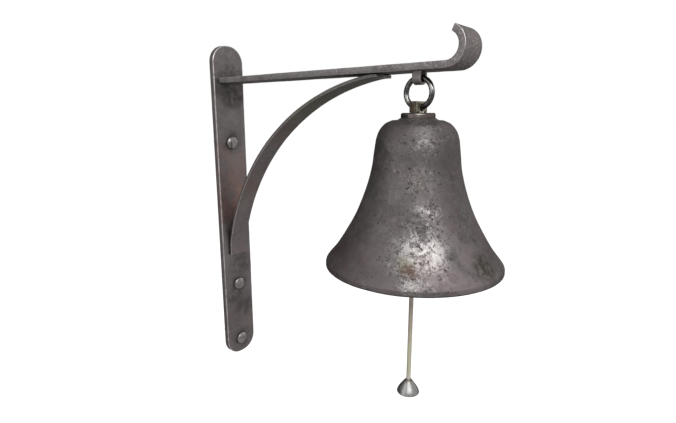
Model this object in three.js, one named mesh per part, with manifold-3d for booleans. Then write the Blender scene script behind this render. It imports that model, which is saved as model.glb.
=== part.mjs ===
// Yard dinner bell: a cast bell with a pull clapper, hung by a ring from a forged wall bracket.
// Millimetres. The origin is the centre of the back plate's rear face, on the wall.
// +X points out from the wall along the arm, +Y is sideways and +Z is up.

import * as THREE from 'three';
import { mergeVertices } from 'three/addons/utils/BufferGeometryUtils.js';
import Module from 'manifold-3d';

const wasm = await Module();
wasm.setup();

// ---------------------------------------------------------------- driving dimensions

const GAP = 0.3; // air left between pieces that touch
const PAST = 1; // how far a tool runs past the face that it cuts
const ROUND = 20; // sides of small round pieces and of their holes
const ROD_SIDES = 16;
const KNOB_SIDES = 28;

// `steps` is the number of straight runs that a curve is drawn with.
const PLATE = { height: 320, width: 35, thick: 6, corner: 16, chamfer: 0.8, steps: 10 };
const ARM = { width: 25, thick: 5, underside: 125, chamfer: 0.5 };
const TENON = { width: 16, recess: 0.5 }; // it stops short of the wall by its recess
const SCROLL = { centreX: 241.4, outerRadius: 13.8, endAngle: 66, steps: 14 };

const BRACE = {
  width: 20,
  thick: 2.5,
  chamfer: 0.4,
  footZ: -47,
  footFlat: 8,
  tipFlat: 4,
  bendRadius: 30,
  footBend: 13.7, // degrees
  tipBend: 8.1,
  footSteps: 4,
  sweepSteps: 22,
  tipSteps: 3,
};
const RIVET = { radius: 2, headRadius: 3.4, sink: 1.2, domeHeight: 0.7, fromEnd: 5, recess: 0.5 };

const SCREW = { headRadius: 6.5, headHeight: 3.3, radius: 2.5, reach: 25, point: 8, steps: 6 };
const SCREW_HEIGHTS = { wall_screw_top: 68, wall_screw_middle: -81, wall_screw_bottom: -144.5 };

const BELL_X = 217; // distance of the bell's axis from the wall
const RING = { radius: 10, wire: 2, centreZ: 111, wireSides: 10, steps: 36 };
const STAPLE = {
  length: 6.5,
  thick: 2,
  innerRadius: 2.9,
  chamfer: 0.3,
  headHeight: 0.4,
  headOverlap: 0.2,
  headGrow: 0.7,
  steps: 12,
};
const LUG = {
  thick: 6,
  width: 15,
  base: 97.8,
  top: 105.3,
  holeRadius: 2.6,
  corner: 2,
  chamfer: 0.4,
  steps: 4,
};
const STEM = { radius: 4, end: 66, slotTop: 74.5, slotWidth: 3 };
const COLLAR = { radius: 12, bottom: 94.3, top: 97.5, edge: 1.2, chamfer: 0.3, steps: 3 };

// The bell's outlines are [radius, height above the mouth].
const MOUTH_Z = -13;
const BELL = {
  wall: 3.6,
  mouthInside: [60, 0],
  lip: [[60, 0], [64.2, 0], [65, 0.8], [64.8, 4]],
  flare: [
    [63, 6.5], [57, 14], [50.7, 24], [44.1, 36], [38.9, 48], [34.8, 60], [31.9, 72], [30.3, 84],
    [29.2, 92],
  ],
  shoulder: [[29.2, 92], [27.1, 98], [23.1, 103], [18, 105.5]],
  boss: [[14.5, 105.7], [12.6, 106.3], [12, 107]],
  bossTop: 107,
  crownInside: 101,
  underCrown: [[14, 101], [20.5, 98.6], [24.2, 95.4]],
  outerSteps: 14,
  innerSteps: 9,
  shoulderSteps: 5,
  sides: 40,
};

const WASHER = { radius: 9, thick: 1.6 };
const NUT = { acrossFlats: 13, height: 6.5 };
const JAM_NUT = { acrossFlats: 13, height: 4 };

const PIN = { z: 70, radius: 1.5, headRadius: 2.5, headThick: 1 };
const ROD = { radius: 1.7, end: -112, neckEnd: 62.5, neckWidth: 4.4, eyeRadius: 3.5, flat: 2.4 };
const BALL = { radius: 13, z: 2, steps: 10 };
const BALL_NUT = { acrossFlats: 7, height: 3 };

// The knob's outline is [radius, height above its base].
const KNOB = {
  base: -119.3,
  height: 10.9,
  bore: 5,
  side: [
    [8.55, 0], [8.8, 0.25], [8.6, 1], [7.95, 2.6], [6.9, 4.4], [5.5, 6.4], [4, 8.6], [2.4, 10.5],
  ],
};

// ---------------------------------------------------------------- materials

function metal(name, color, roughness, metalness) {
  return new THREE.MeshStandardMaterial({ name, color, roughness, metalness });
}

const FORGED = metal('forged_iron', 0x57534f, 0.62, 0.85);
const CAST = metal('cast_iron', 0x5b5552, 0.58, 0.8);
const STEEL = metal('dark_steel', 0x4a4845, 0.35, 0.95);
const BRONZE = metal('bronze_brown', 0x5d5543, 0.5, 0.85);
const FASTENER = metal('fastener_steel', 0x6b6764, 0.45, 0.9);
const BRASS = metal('pale_brass', 0xcdc39b, 0.35, 0.9);
const POLISHED = metal('polished_steel', 0xa6a8a8, 0.25, 1);

// ---------------------------------------------------------------- helpers

// Merges shared corners and drops the triangles that collapse where a profile meets its axis.
function closed(geometry) {
  const bare = geometry.clone();
  bare.deleteAttribute('normal');
  bare.deleteAttribute('uv');
  const merged = mergeVertices(bare, 1e-4);
  const corners = merged.index.array;
  const kept = [];
  for (let i = 0; i < corners.length; i += 3) {
    const [a, b, c] = corners.slice(i, i + 3);
    if (a !== b && b !== c && c !== a) kept.push(a, b, c);
  }
  merged.setIndex(kept);
  return merged;
}

function toSolid(geometry) {
  const mesh = closed(geometry);
  return new wasm.Manifold(new wasm.Mesh({
    numProp: 3,
    vertProperties: new Float32Array(mesh.attributes.position.array),
    triVerts: new Uint32Array(mesh.index.array),
  }));
}

function toGeometry(solid) {
  const mesh = solid.getMesh();
  const geometry = new THREE.BufferGeometry();
  geometry.setAttribute('position', new THREE.BufferAttribute(mesh.vertProperties, 3));
  geometry.setIndex(new THREE.BufferAttribute(mesh.triVerts, 1));
  return geometry;
}

// Takes every tool away from the blank.
function cut(blank, ...tools) {
  let solid = toSolid(blank);
  for (const tool of tools) solid = solid.subtract(toSolid(tool));
  return toGeometry(solid);
}

function join(first, ...others) {
  let solid = toSolid(first);
  for (const other of others) solid = solid.add(toSolid(other));
  return toGeometry(solid);
}

function box(width, depth, height, x, y, z) {
  return new THREE.BoxGeometry(width, depth, height).translate(x, y, z);
}

// Round bars along each axis, from one coordinate to another.
function barAlongX(radius, from, to, y, z, sides = ROUND) {
  const bar = new THREE.CylinderGeometry(radius, radius, to - from, sides);
  return bar.rotateZ(Math.PI / 2).translate((from + to) / 2, y, z);
}

function barAlongY(radius, from, to, x, z, sides = ROUND) {
  const bar = new THREE.CylinderGeometry(radius, radius, to - from, sides);
  return bar.translate(x, (from + to) / 2, z);
}

function barAlongZ(radius, from, to, x, y, sides = ROUND) {
  const bar = new THREE.CylinderGeometry(radius, radius, to - from, sides);
  return bar.rotateX(Math.PI / 2).translate(x, y, (from + to) / 2);
}

// Turns a profile of (radius, height) points about the upright line at x. The points run so
// that the solid is on their left: up the outside, then inwards.
function turned(profile, x, sides = ROUND) {
  const points = profile.map(([radius, z]) => new THREE.Vector2(radius, z));
  return new THREE.LatheGeometry(points, sides).rotateX(Math.PI / 2).translate(x, 0, 0);
}

// The same turning about a line along X, with the profile's heights running towards +X.
function turnedAlongX(profile, z, sides = ROUND) {
  const points = profile.map(([radius, x]) => new THREE.Vector2(radius, x));
  return new THREE.LatheGeometry(points, sides).rotateZ(-Math.PI / 2).translate(0, 0, z);
}

function extrudedWithChamfer(shape, thick, chamfer, curveSegments) {
  return new THREE.ExtrudeGeometry(shape, {
    depth: thick - 2 * chamfer,
    bevelEnabled: true,
    bevelThickness: chamfer,
    bevelSize: chamfer,
    bevelOffset: -chamfer,
    bevelSegments: 1,
    curveSegments,
  }).translate(0, 0, chamfer - thick / 2);
}

// A side outline drawn in X and Z, as wide as stated and centred on the arm's middle plane.
function sideProfile(shape, width, chamfer, curveSegments) {
  return extrudedWithChamfer(shape, width, chamfer, curveSegments).rotateX(Math.PI / 2);
}

// A front outline drawn in Y and Z, as thick as stated and centred on x.
function frontProfile(shape, thick, chamfer, x, curveSegments) {
  const upright = new THREE.Matrix4().makeBasis(
    new THREE.Vector3(0, 1, 0),
    new THREE.Vector3(0, 0, 1),
    new THREE.Vector3(1, 0, 0),
  );
  const blank = extrudedWithChamfer(shape, thick, chamfer, curveSegments);
  return blank.applyMatrix4(upright).translate(x, 0, 0);
}

function roundedRectangle(width, low, high, corner, lowCorner = corner) {
  const half = width / 2;
  const shape = new THREE.Shape();
  shape.moveTo(half, high - corner);
  shape.absarc(half - corner, high - corner, corner, 0, Math.PI / 2, false);
  shape.absarc(corner - half, high - corner, corner, Math.PI / 2, Math.PI, false);
  if (lowCorner > 0) {
    shape.absarc(lowCorner - half, low + lowCorner, lowCorner, Math.PI, 1.5 * Math.PI, false);
    shape.absarc(half - lowCorner, low + lowCorner, lowCorner, 1.5 * Math.PI, 2 * Math.PI, false);
  } else {
    shape.lineTo(-half, low);
    shape.lineTo(half, low);
  }
  return shape;
}

function hexNut(size, bottom, boreRadius, x) {
  const corner = size.acrossFlats / 2 / Math.cos(Math.PI / 6);
  const top = bottom + size.height;
  const blank = barAlongZ(corner, bottom, top, x, 0, 6);
  return cut(blank, barAlongZ(boreRadius, bottom - 1, top + 1, x, 0));
}

// ---------------------------------------------------------------- the bracket

const armTop = ARM.underside + ARM.thick;
const braceFace = PLATE.thick + GAP; // where the brace's foot lies against the plate
const braceUnderside = ARM.underside - GAP - BRACE.thick; // its lower face where it meets the arm
const footRivetZ = BRACE.footZ + RIVET.fromEnd;

function backPlate() {
  const { height, width, thick, corner, chamfer, steps } = PLATE;
  const outline = roundedRectangle(width, -height / 2, height / 2, corner);
  const blank = frontProfile(outline, thick, chamfer, thick / 2, steps);
  const screwHoles = Object.values(SCREW_HEIGHTS).map((z) =>
    barAlongX(SCREW.radius + GAP, -PAST, thick + PAST, 0, z));
  const slot = box(
    thick + 2 * PAST, TENON.width + 2 * GAP, ARM.thick + 2 * GAP,
    thick / 2, 0, ARM.underside + ARM.thick / 2,
  );
  const rivetHole = barAlongX(RIVET.radius + GAP, -PAST, thick + PAST, 0, footRivetZ);
  return cut(blank, ...screwHoles, slot, rivetHole);
}

function wallScrew(z) {
  const under = PLATE.thick + GAP;
  const { headRadius, headHeight, radius, reach, point, steps } = SCREW;
  const profile = [[0, -reach], [radius, point - reach], [radius, under], [headRadius, under]];
  for (let i = 1; i < steps; i += 1) {
    const angle = (i / steps) * Math.PI / 2;
    profile.push([headRadius * Math.cos(angle), under + headHeight * Math.sin(angle)]);
  }
  profile.push([0, under + headHeight]);
  return turnedAlongX(profile, z);
}

// The flat bar runs out level and its end curls up and back over itself.
function arm() {
  const { centreX, outerRadius, endAngle, steps } = SCROLL;
  const centreZ = ARM.underside + outerRadius;
  const end = THREE.MathUtils.degToRad(endAngle);
  const outline = new THREE.Shape();
  outline.moveTo(TENON.recess, armTop);
  outline.lineTo(TENON.recess, ARM.underside);
  outline.lineTo(centreX, ARM.underside);
  outline.absarc(centreX, centreZ, outerRadius, -Math.PI / 2, end, false);
  outline.absarc(centreX, centreZ, outerRadius - ARM.thick, end, -Math.PI / 2, true);
  const blank = sideProfile(outline, ARM.width, ARM.chamfer, steps);

  const shoulder = PLATE.thick + GAP;
  const waste = (ARM.width - TENON.width) / 2;
  const offCentre = (TENON.width + waste) / 2;
  const middle = ARM.underside + ARM.thick / 2;
  const cheeks = [-1, 1].map((side) =>
    box(2 * shoulder, waste, ARM.thick + 2 * PAST, 0, side * offCentre, middle));
  const legSlots = [-1, 1].map((side) => box(
    STAPLE.length + 2 * GAP, STAPLE.thick + 2 * GAP, ARM.thick + 2 * PAST,
    BELL_X, side * (STAPLE.innerRadius + STAPLE.thick / 2), middle,
  ));
  const holeRadius = RIVET.radius + GAP;
  const rivetHole = barAlongZ(holeRadius, ARM.underside - PAST, armTop + PAST, tipRivetX(), 0);
  return cut(blank, ...cheeks, ...legSlots, rivetHole);
}

// The radius of the brace's long sweep, from the rise that its flats and bends leave over.
function sweepRadius() {
  const foot = THREE.MathUtils.degToRad(BRACE.footBend);
  const tip = THREE.MathUtils.degToRad(BRACE.tipBend);
  const rise = ARM.underside - GAP - BRACE.footZ;
  const bends = BRACE.bendRadius * (Math.sin(foot) + 1 - Math.cos(tip));
  return (rise - BRACE.footFlat - bends) / (Math.cos(tip) - Math.sin(foot));
}

// The brace's outer face as points with a heading, measured from straight up.
function bracePath() {
  const foot = THREE.MathUtils.degToRad(BRACE.footBend);
  const tip = THREE.MathUtils.degToRad(BRACE.tipBend);
  const stretches = [
    { radius: BRACE.bendRadius, from: 0, to: foot, steps: BRACE.footSteps },
    { radius: sweepRadius(), from: foot, to: Math.PI / 2 - tip, steps: BRACE.sweepSteps },
    { radius: BRACE.bendRadius, from: Math.PI / 2 - tip, to: Math.PI / 2, steps: BRACE.tipSteps },
  ];
  let x = braceFace;
  let z = BRACE.footZ;
  const path = [{ x, z, heading: 0 }];
  z += BRACE.footFlat;
  path.push({ x, z, heading: 0 });
  for (const { radius, from, to, steps } of stretches) {
    const centreX = x + radius * Math.cos(from);
    const centreZ = z - radius * Math.sin(from);
    for (let i = 1; i <= steps; i += 1) {
      const heading = from + (i / steps) * (to - from);
      x = centreX - radius * Math.cos(heading);
      z = centreZ + radius * Math.sin(heading);
      path.push({ x, z, heading });
    }
  }
  path.push({ x: x + BRACE.tipFlat, z, heading: Math.PI / 2 });
  return path;
}

function tipRivetX() {
  return bracePath().at(-1).x - RIVET.fromEnd;
}

function brace() {
  const outer = bracePath();
  const inner = outer.map(({ x, z, heading }) => ({
    x: x + BRACE.thick * Math.cos(heading),
    z: z - BRACE.thick * Math.sin(heading),
  }));
  const loop = [...inner, ...outer.reverse()];
  const outline = new THREE.Shape(loop.map(({ x, z }) => new THREE.Vector2(x, z)));
  const blank = sideProfile(outline, BRACE.width, BRACE.chamfer, 1);
  const footHole = turnedAlongX(rivetHoleProfile(braceFace + BRACE.thick), footRivetZ);
  const tipHole = turned(rivetHoleProfile(-braceUnderside), 0)
    .rotateX(Math.PI).translate(tipRivetX(), 0, 0);
  return cut(blank, footHole, tipHole);
}

// A countersunk hole through the brace that opens at `face`, as (radius, distance) points.
function rivetHoleProfile(face) {
  const { radius, headRadius, sink } = RIVET;
  const behind = face - BRACE.thick - PAST;
  return [
    [0, behind],
    [radius + GAP, behind],
    [radius + GAP, face - sink - GAP],
    [headRadius + GAP, face],
    [headRadius + GAP, face + PAST],
    [0, face + PAST],
  ];
}

// A rivet with a countersunk head flush at `face` and its other end at `from`.
function rivetProfile(from, face) {
  const { radius, headRadius, sink } = RIVET;
  return [[0, from], [radius, from], [radius, face - sink], [headRadius, face], [0, face]];
}

function braceFootRivet() {
  return turnedAlongX(rivetProfile(RIVET.recess, braceFace + BRACE.thick), footRivetZ);
}

// The tip rivet's other end is closed over the arm as a low dome.
function braceTipRivet() {
  const { radius, headRadius, sink, domeHeight } = RIVET;
  const seat = armTop + GAP;
  const slope = Math.SQRT1_2; // half way round the dome
  const profile = [
    [0, braceUnderside],
    [headRadius, braceUnderside],
    [radius, braceUnderside + sink],
    [radius, seat],
    [headRadius, seat],
    [headRadius * slope, seat + domeHeight * slope],
    [0, seat + domeHeight],
  ];
  return turned(profile, tipRivetX());
}

// A strap bent into a U. Its legs go up through the arm and are spread over on top.
function hangerStaple() {
  const { length, thick, innerRadius, chamfer, headHeight, headOverlap, headGrow, steps } = STAPLE;
  const outerRadius = innerRadius + thick;
  const centreZ = RING.centreZ + RING.radius;
  const seat = armTop + GAP;
  const outline = new THREE.Shape();
  outline.moveTo(-outerRadius, seat);
  outline.absarc(0, centreZ, outerRadius, Math.PI, 2 * Math.PI, false);
  outline.lineTo(outerRadius, seat);
  outline.lineTo(innerRadius, seat);
  outline.absarc(0, centreZ, innerRadius, 2 * Math.PI, Math.PI, true);
  outline.lineTo(-innerRadius, seat);
  const strap = frontProfile(outline, length, chamfer, BELL_X, steps);
  const headMiddle = innerRadius + (thick + headGrow) / 2;
  const heads = [-1, 1].map((side) => box(
    length + 2 * headGrow, thick + headGrow, headHeight + headOverlap,
    BELL_X, side * headMiddle, seat + (headHeight - headOverlap) / 2,
  ));
  return join(strap, ...heads);
}

function ring() {
  const torus = new THREE.TorusGeometry(RING.radius, RING.wire, RING.wireSides, RING.steps);
  return torus.rotateX(Math.PI / 2).translate(BELL_X, 0, RING.centreZ);
}

// ---------------------------------------------------------------- the bell

const stemBore = STEM.radius + GAP;

// A flat eye for the ring, with a stem that goes through the bell's crown and ends in a fork.
function crownEyebolt() {
  const outline = roundedRectangle(LUG.width, LUG.base, LUG.top, LUG.corner, 0);
  const eye = frontProfile(outline, LUG.thick, LUG.chamfer, BELL_X, LUG.steps);
  const stem = barAlongZ(STEM.radius, STEM.end, LUG.base + PAST, BELL_X, 0);
  const ringHole = barAlongX(
    LUG.holeRadius, BELL_X - LUG.thick, BELL_X + LUG.thick, 0, RING.centreZ - RING.radius,
  );
  const slotHeight = STEM.slotTop - STEM.end + PAST;
  const slot = box(
    3 * STEM.radius, STEM.slotWidth, slotHeight,
    BELL_X, 0, STEM.slotTop - slotHeight / 2,
  );
  const pinHole = barAlongY(PIN.radius + GAP, -2 * STEM.radius, 2 * STEM.radius, BELL_X, PIN.z);
  return cut(join(eye, stem), ringHole, slot, pinHole);
}

function crownCollar() {
  const { radius, bottom, top, edge, chamfer, steps } = COLLAR;
  const profile = [[stemBore, bottom], [radius - chamfer, bottom], [radius, bottom + chamfer]];
  for (let i = 0; i <= steps; i += 1) {
    const angle = (i / steps) * Math.PI / 2;
    profile.push([radius - edge + edge * Math.cos(angle), top - edge + edge * Math.sin(angle)]);
  }
  profile.push([stemBore, top], [stemBore, bottom]);
  return turned(profile, BELL_X);
}

// The flare is one smooth curve from the lip to the shoulder, and the inside is the same curve
// moved in by the wall.
function bell() {
  const flare = smoothCurve(BELL.flare);
  const shoulder = smoothCurve(BELL.shoulder);
  const outside = [
    ...flare.getPoints(BELL.outerSteps),
    ...shoulder.getPoints(BELL.shoulderSteps).slice(1),
  ];
  const inside = flare.getPoints(BELL.innerSteps).map(({ x, y }) => [x - BELL.wall, y]).reverse();
  const profile = [
    ...BELL.lip,
    ...outside.map(({ x, y }) => [x, y]),
    ...BELL.boss,
    [stemBore, BELL.bossTop],
    [stemBore, BELL.crownInside],
    ...BELL.underCrown,
    ...inside,
    BELL.mouthInside,
  ];
  return turned(profile.map(([radius, height]) => [radius, MOUTH_Z + height]), BELL_X, BELL.sides);
}

function smoothCurve(points) {
  return new THREE.SplineCurve(points.map(([x, y]) => new THREE.Vector2(x, y)));
}

const washerTop = MOUTH_Z + BELL.crownInside - GAP;
const washerBottom = washerTop - WASHER.thick;
const nutBottom = washerBottom - GAP - NUT.height;
const jamNutBottom = nutBottom - GAP - JAM_NUT.height;

function innerWasher() {
  const { radius } = WASHER;
  const profile = [
    [stemBore, washerBottom],
    [radius, washerBottom],
    [radius, washerTop],
    [stemBore, washerTop],
    [stemBore, washerBottom],
  ];
  return turned(profile, BELL_X);
}

function clapperPin() {
  const { radius, headRadius, headThick, z } = PIN;
  const seat = STEM.radius + GAP;
  const end = seat + headThick;
  const shank = barAlongY(radius, -end, end, BELL_X, z);
  const nearHead = barAlongY(headRadius, -end, -seat, BELL_X, z);
  const farHead = barAlongY(headRadius, seat, end, BELL_X, z);
  return join(shank, nearHead, farHead);
}

// ---------------------------------------------------------------- the clapper and its pull

function pullRod() {
  const { radius, end, neckEnd, neckWidth, eyeRadius, flat } = ROD;
  const shank = barAlongZ(radius, end, neckEnd + PAST, BELL_X, 0, ROD_SIDES);
  const neck = box(neckWidth, flat, PIN.z - neckEnd, BELL_X, 0, (PIN.z + neckEnd) / 2);
  const eye = barAlongY(eyeRadius, -flat / 2, flat / 2, BELL_X, PIN.z);
  const hole = barAlongY(PIN.radius + GAP, -flat, flat, BELL_X, PIN.z);
  return cut(join(shank, neck, eye), hole);
}

const rodBore = ROD.radius + GAP;

function clapperBall() {
  const { radius, z, steps } = BALL;
  const start = Math.asin(rodBore / radius);
  const profile = [];
  for (let i = 0; i <= steps; i += 1) {
    const angle = start + (i / steps) * (Math.PI - 2 * start);
    profile.push([radius * Math.sin(angle), z - radius * Math.cos(angle)]);
  }
  profile.push(profile[0]);
  return turned(profile, BELL_X);
}

// Where a nut meets the ball, at the rim of the ball's bore.
const ballSeat = Math.sqrt(BALL.radius ** 2 - rodBore ** 2) + GAP;
const upperNutBottom = BALL.z + ballSeat;
const lowerNutBottom = BALL.z - ballSeat - BALL_NUT.height;

// A domed cone with a sharp rim at its base, screwed on the end of the rod.
function pullKnob() {
  const { base, height, bore, side } = KNOB;
  const profile = [
    [0, 0],
    ...side,
    [rodBore, height],
    [rodBore, height - bore],
    [0, height - bore],
  ];
  return turned(profile.map(([radius, rise]) => [radius, base + rise]), BELL_X, KNOB_SIDES);
}

// ---------------------------------------------------------------- assembly

const dinnerBell = new THREE.Group();

function add(name, geometry, material) {
  const mesh = new THREE.Mesh(closed(geometry), material);
  mesh.geometry.computeVertexNormals();
  mesh.name = name;
  dinnerBell.add(mesh);
}

add('back_plate', backPlate(), FORGED.clone());
for (const [name, z] of Object.entries(SCREW_HEIGHTS)) add(name, wallScrew(z), FASTENER.clone());
add('arm', arm(), FORGED.clone());
add('brace', brace(), FORGED.clone());
add('brace_foot_rivet', braceFootRivet(), FORGED.clone());
add('brace_tip_rivet', braceTipRivet(), FORGED.clone());
add('hanger_staple', hangerStaple(), FORGED.clone());
add('ring', ring(), STEEL.clone());

add('crown_eyebolt', crownEyebolt(), BRONZE.clone());
add('crown_collar', crownCollar(), CAST.clone());
add('bell', bell(), CAST.clone());
add('inner_washer', innerWasher(), FASTENER.clone());
add('crown_nut', hexNut(NUT, nutBottom, stemBore, BELL_X), FASTENER.clone());
add('jam_nut', hexNut(JAM_NUT, jamNutBottom, stemBore, BELL_X), FASTENER.clone());
add('clapper_pin', clapperPin(), FASTENER.clone());

add('pull_rod', pullRod(), BRASS.clone());
add('clapper_ball', clapperBall(), CAST.clone());
add('ball_nut_upper', hexNut(BALL_NUT, upperNutBottom, rodBore, BELL_X), FASTENER.clone());
add('ball_nut_lower', hexNut(BALL_NUT, lowerNutBottom, rodBore, BELL_X), FASTENER.clone());
add('pull_knob', pullKnob(), POLISHED.clone());

export default dinnerBell;
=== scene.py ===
"""Yard dinner bell on a forged wall bracket: its fine surfaces, finishes, studio and camera.

Lengths are millimetres in the constants and builders, and become metres when a mesh is made.
"""

from functools import partialmethod
from math import asin, ceil, cos, degrees, exp, hypot, pi, radians, sin, tan

import bmesh
import bpy
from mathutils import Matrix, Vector, noise


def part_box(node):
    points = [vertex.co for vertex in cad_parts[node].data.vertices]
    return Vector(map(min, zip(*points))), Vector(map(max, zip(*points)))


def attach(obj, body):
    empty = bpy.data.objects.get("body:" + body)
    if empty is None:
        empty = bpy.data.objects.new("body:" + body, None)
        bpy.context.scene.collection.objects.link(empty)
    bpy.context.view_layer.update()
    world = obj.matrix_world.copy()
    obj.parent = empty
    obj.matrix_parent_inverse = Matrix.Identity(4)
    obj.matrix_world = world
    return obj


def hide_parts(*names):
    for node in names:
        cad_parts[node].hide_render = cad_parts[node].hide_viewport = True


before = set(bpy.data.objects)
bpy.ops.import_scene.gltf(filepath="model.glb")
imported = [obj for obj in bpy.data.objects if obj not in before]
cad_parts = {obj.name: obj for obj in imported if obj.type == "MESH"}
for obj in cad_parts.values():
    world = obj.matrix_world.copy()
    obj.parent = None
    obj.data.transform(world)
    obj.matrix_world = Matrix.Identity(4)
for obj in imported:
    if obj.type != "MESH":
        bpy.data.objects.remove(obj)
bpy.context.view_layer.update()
MM = 0.001


# -------- places, read from the frame

def corners(node):
    """A node's lowest and highest corners, in millimetres."""
    low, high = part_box(node)
    return low / MM, high / MM


def middle_height(node):
    """The height of a node's middle, in millimetres."""
    low, high = corners(node)
    return (low.z + high.z) / 2


PLATE_LOW, PLATE_HIGH = corners("back_plate")
ARM_LOW, _ = corners("arm")
BRACE_LOW, BRACE_HIGH = corners("brace")
STAPLE_LOW, STAPLE_HIGH = corners("hanger_staple")
RING_LOW, RING_HIGH = corners("ring")
EYEBOLT_LOW, EYEBOLT_HIGH = corners("crown_eyebolt")
_, COLLAR_HIGH = corners("crown_collar")
BELL_LOW, BELL_HIGH = corners("bell")
PIN_LOW, PIN_HIGH = corners("clapper_pin")
ROD_LOW, _ = corners("pull_rod")
BALL_LOW, BALL_HIGH = corners("clapper_ball")
KNOB_LOW, KNOB_HIGH = corners("pull_knob")

AXIS_X = (RING_LOW.x + RING_HIGH.x) / 2
PIN_Z = middle_height("clapper_pin")
# The air between pieces that fit together, the angle in degrees that is still shaded smooth, and
# the share of its radius that a screw's tip keeps.
GAP = 0.3
CREASE = 35
BLUNT_TIP = 0.12


# -------- outlines

def arc(centre_u, centre_v, radius, start, end, steps):
    """Points on an arc, angles in degrees."""
    points = []
    for i in range(steps + 1):
        angle = radians(start + (end - start) * i / steps)
        points.append((centre_u + radius * cos(angle), centre_v + radius * sin(angle)))
    return points


def rounded(points, steps=4, closed=False):
    """Rounds the corners of a line of (u, v, corner radius) points."""
    made = []
    count = len(points)
    for i, (u, v, radius) in enumerate(points):
        if radius <= 0 or (not closed and i in (0, count - 1)):
            made.append((u, v))
            continue
        here = Vector((u, v))
        back = Vector(points[i - 1][:2]) - here
        ahead = Vector(points[(i + 1) % count][:2]) - here
        half = back.angle(ahead) / 2
        run = min(radius / tan(half), 0.49 * back.length, 0.49 * ahead.length)
        first = here + back.normalized() * run
        last = here + ahead.normalized() * run
        for k in range(steps + 1):
            t = k / steps
            point = (1 - t) ** 2 * first + 2 * t * (1 - t) * here + t * t * last
            made.append((point.x, point.y))
    return made


def through(points, steps):
    """A smooth curve through (u, v) points, with that many steps between two points."""
    line = [Vector(p) for p in points]
    line = [2 * line[0] - line[1]] + line + [2 * line[-1] - line[-2]]
    made = []
    for i in range(1, len(line) - 2):
        a, b, c, d = line[i - 1:i + 3]
        for k in range(steps):
            t = k / steps
            p = 0.5 * (2 * b + (c - a) * t + (2 * a - 5 * b + 4 * c - d) * t * t
                       + (3 * b - a - 3 * c + d) * t ** 3)
            made.append((p.x, p.y))
    made.append((line[-2].x, line[-2].y))
    return made


def spaced(start, end, step):
    """Values from start to end, no further apart than step."""
    count = max(1, ceil(abs(end - start) / step))
    return [start + (end - start) * i / count for i in range(count + 1)]


def domed(radius, base, rise, start, step):
    """A rounded head's profile, from start degrees up its side to the axis: (radius, height) points."""
    angles = [radians(a) for a in spaced(start, 90, step)[:-1]]
    return [(radius * cos(a), base + rise * sin(a)) for a in angles] + [(0.0, base + rise)]


# -------- meshes

def mesh_piece(name, points, faces):
    """An object at the origin whose mesh has those points, given in millimetres."""
    mesh = bpy.data.meshes.new(name)
    mesh.from_pydata([Vector(p) * MM for p in points], [], faces)
    built = bmesh.new()
    built.from_mesh(mesh)
    bmesh.ops.remove_doubles(built, verts=built.verts, dist=1e-7)
    bmesh.ops.recalc_face_normals(built, faces=built.faces)
    built.to_mesh(mesh)
    built.free()
    piece = bpy.data.objects.new(name, mesh)
    bpy.context.scene.collection.objects.link(piece)
    return piece


def face_of(*numbers):
    """A face of those points, each taken once."""
    return list(dict.fromkeys(numbers))


def between(rows):
    """Faces from each row of point numbers to the next. A row may repeat one point, on an axis."""
    faces = []
    for low, high in zip(rows, rows[1:]):
        for k in range(len(low)):
            n = (k + 1) % len(low)
            face = face_of(low[k], low[n], high[n], high[k])
            if len(face) > 2:
                faces.append(face)
    return faces


def numbered(loops):
    """The points of loops of one length, in one list, and each loop's point numbers."""
    points = [point for loop in loops for point in loop]
    size = len(loops[0])
    return points, [list(range(start, start + size)) for start in range(0, len(points), size)]


def stacked(name, loops):
    """A piece whose surface runs from loop to loop, closed by a face over the first and the last."""
    points, rows = numbered(loops)
    return mesh_piece(name, points, between(rows) + [rows[0], rows[-1]])


def to_z(x=AXIS_X, y=0.0):
    """Puts a lathe's (radius out, sideways, height) on an upright axis."""
    return lambda a, b, h: (x + a, y + b, h)


def to_x(z):
    """Puts a lathe on an axis along X."""
    return lambda a, b, h: (h, a, z + b)


def to_y(x, z):
    """Puts a lathe on an axis along Y."""
    return lambda a, b, h: (x + b, h, z + a)


def turned(radius, angle, height, place):
    """A lathe's point, turned by an angle about its axis."""
    return place(radius * cos(angle), radius * sin(angle), height)


def lathe(name, profile, sides, place):
    """Turns a line of (radius, height) points. It starts and ends on the axis, or closes on itself."""
    points, rows = [], []
    for radius, height in profile:
        if radius < 1e-6:
            rows.append([len(points)] * sides)
            points.append(place(0.0, 0.0, height))
            continue
        rows.append(list(range(len(points), len(points) + sides)))
        points += [turned(radius, 2 * pi * k / sides, height, place) for k in range(sides)]
    return mesh_piece(name, points, between(rows))


def threaded(name, low, high, radius, pitch, depth, place, sides=28, point=0.0):
    """A closed threaded bar between two heights. It narrows to a point over `point` at its low end."""
    loops = []
    for height in spaced(low, high, pitch / 8):
        shrink = min(1.0, BLUNT_TIP + (height - low) / point) if point else 1.0
        fade = max(0.0, min(1.0, (high - height) / pitch, (height - low) / pitch))
        loop = []
        for k in range(sides):
            phase = (height / pitch - k / sides) % 1.0
            r = (radius - depth * abs(2 * phase - 1) * fade) * shrink
            loop.append(turned(r, 2 * pi * k / sides, height, place))
        loops.append(loop)
    return stacked(name, loops)


def bar_section(half_width, half_thick, edge, step):
    """The outline of a flat bar across its length, each edge rounded by two points: (across, through)."""
    near, far = 0.18 * edge, 0.568 * edge
    half = [(u, -half_thick) for u in spaced(edge - half_width, half_width - edge, step)]
    half += [(half_width - far, near - half_thick), (half_width - near, far - half_thick)]
    half += [(half_width, v) for v in spaced(edge - half_thick, half_thick - edge, step)]
    half += [(half_width - near, half_thick - far), (half_width - far, half_thick - near)]
    return half + [(-u, -v) for u, v in half]


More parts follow.
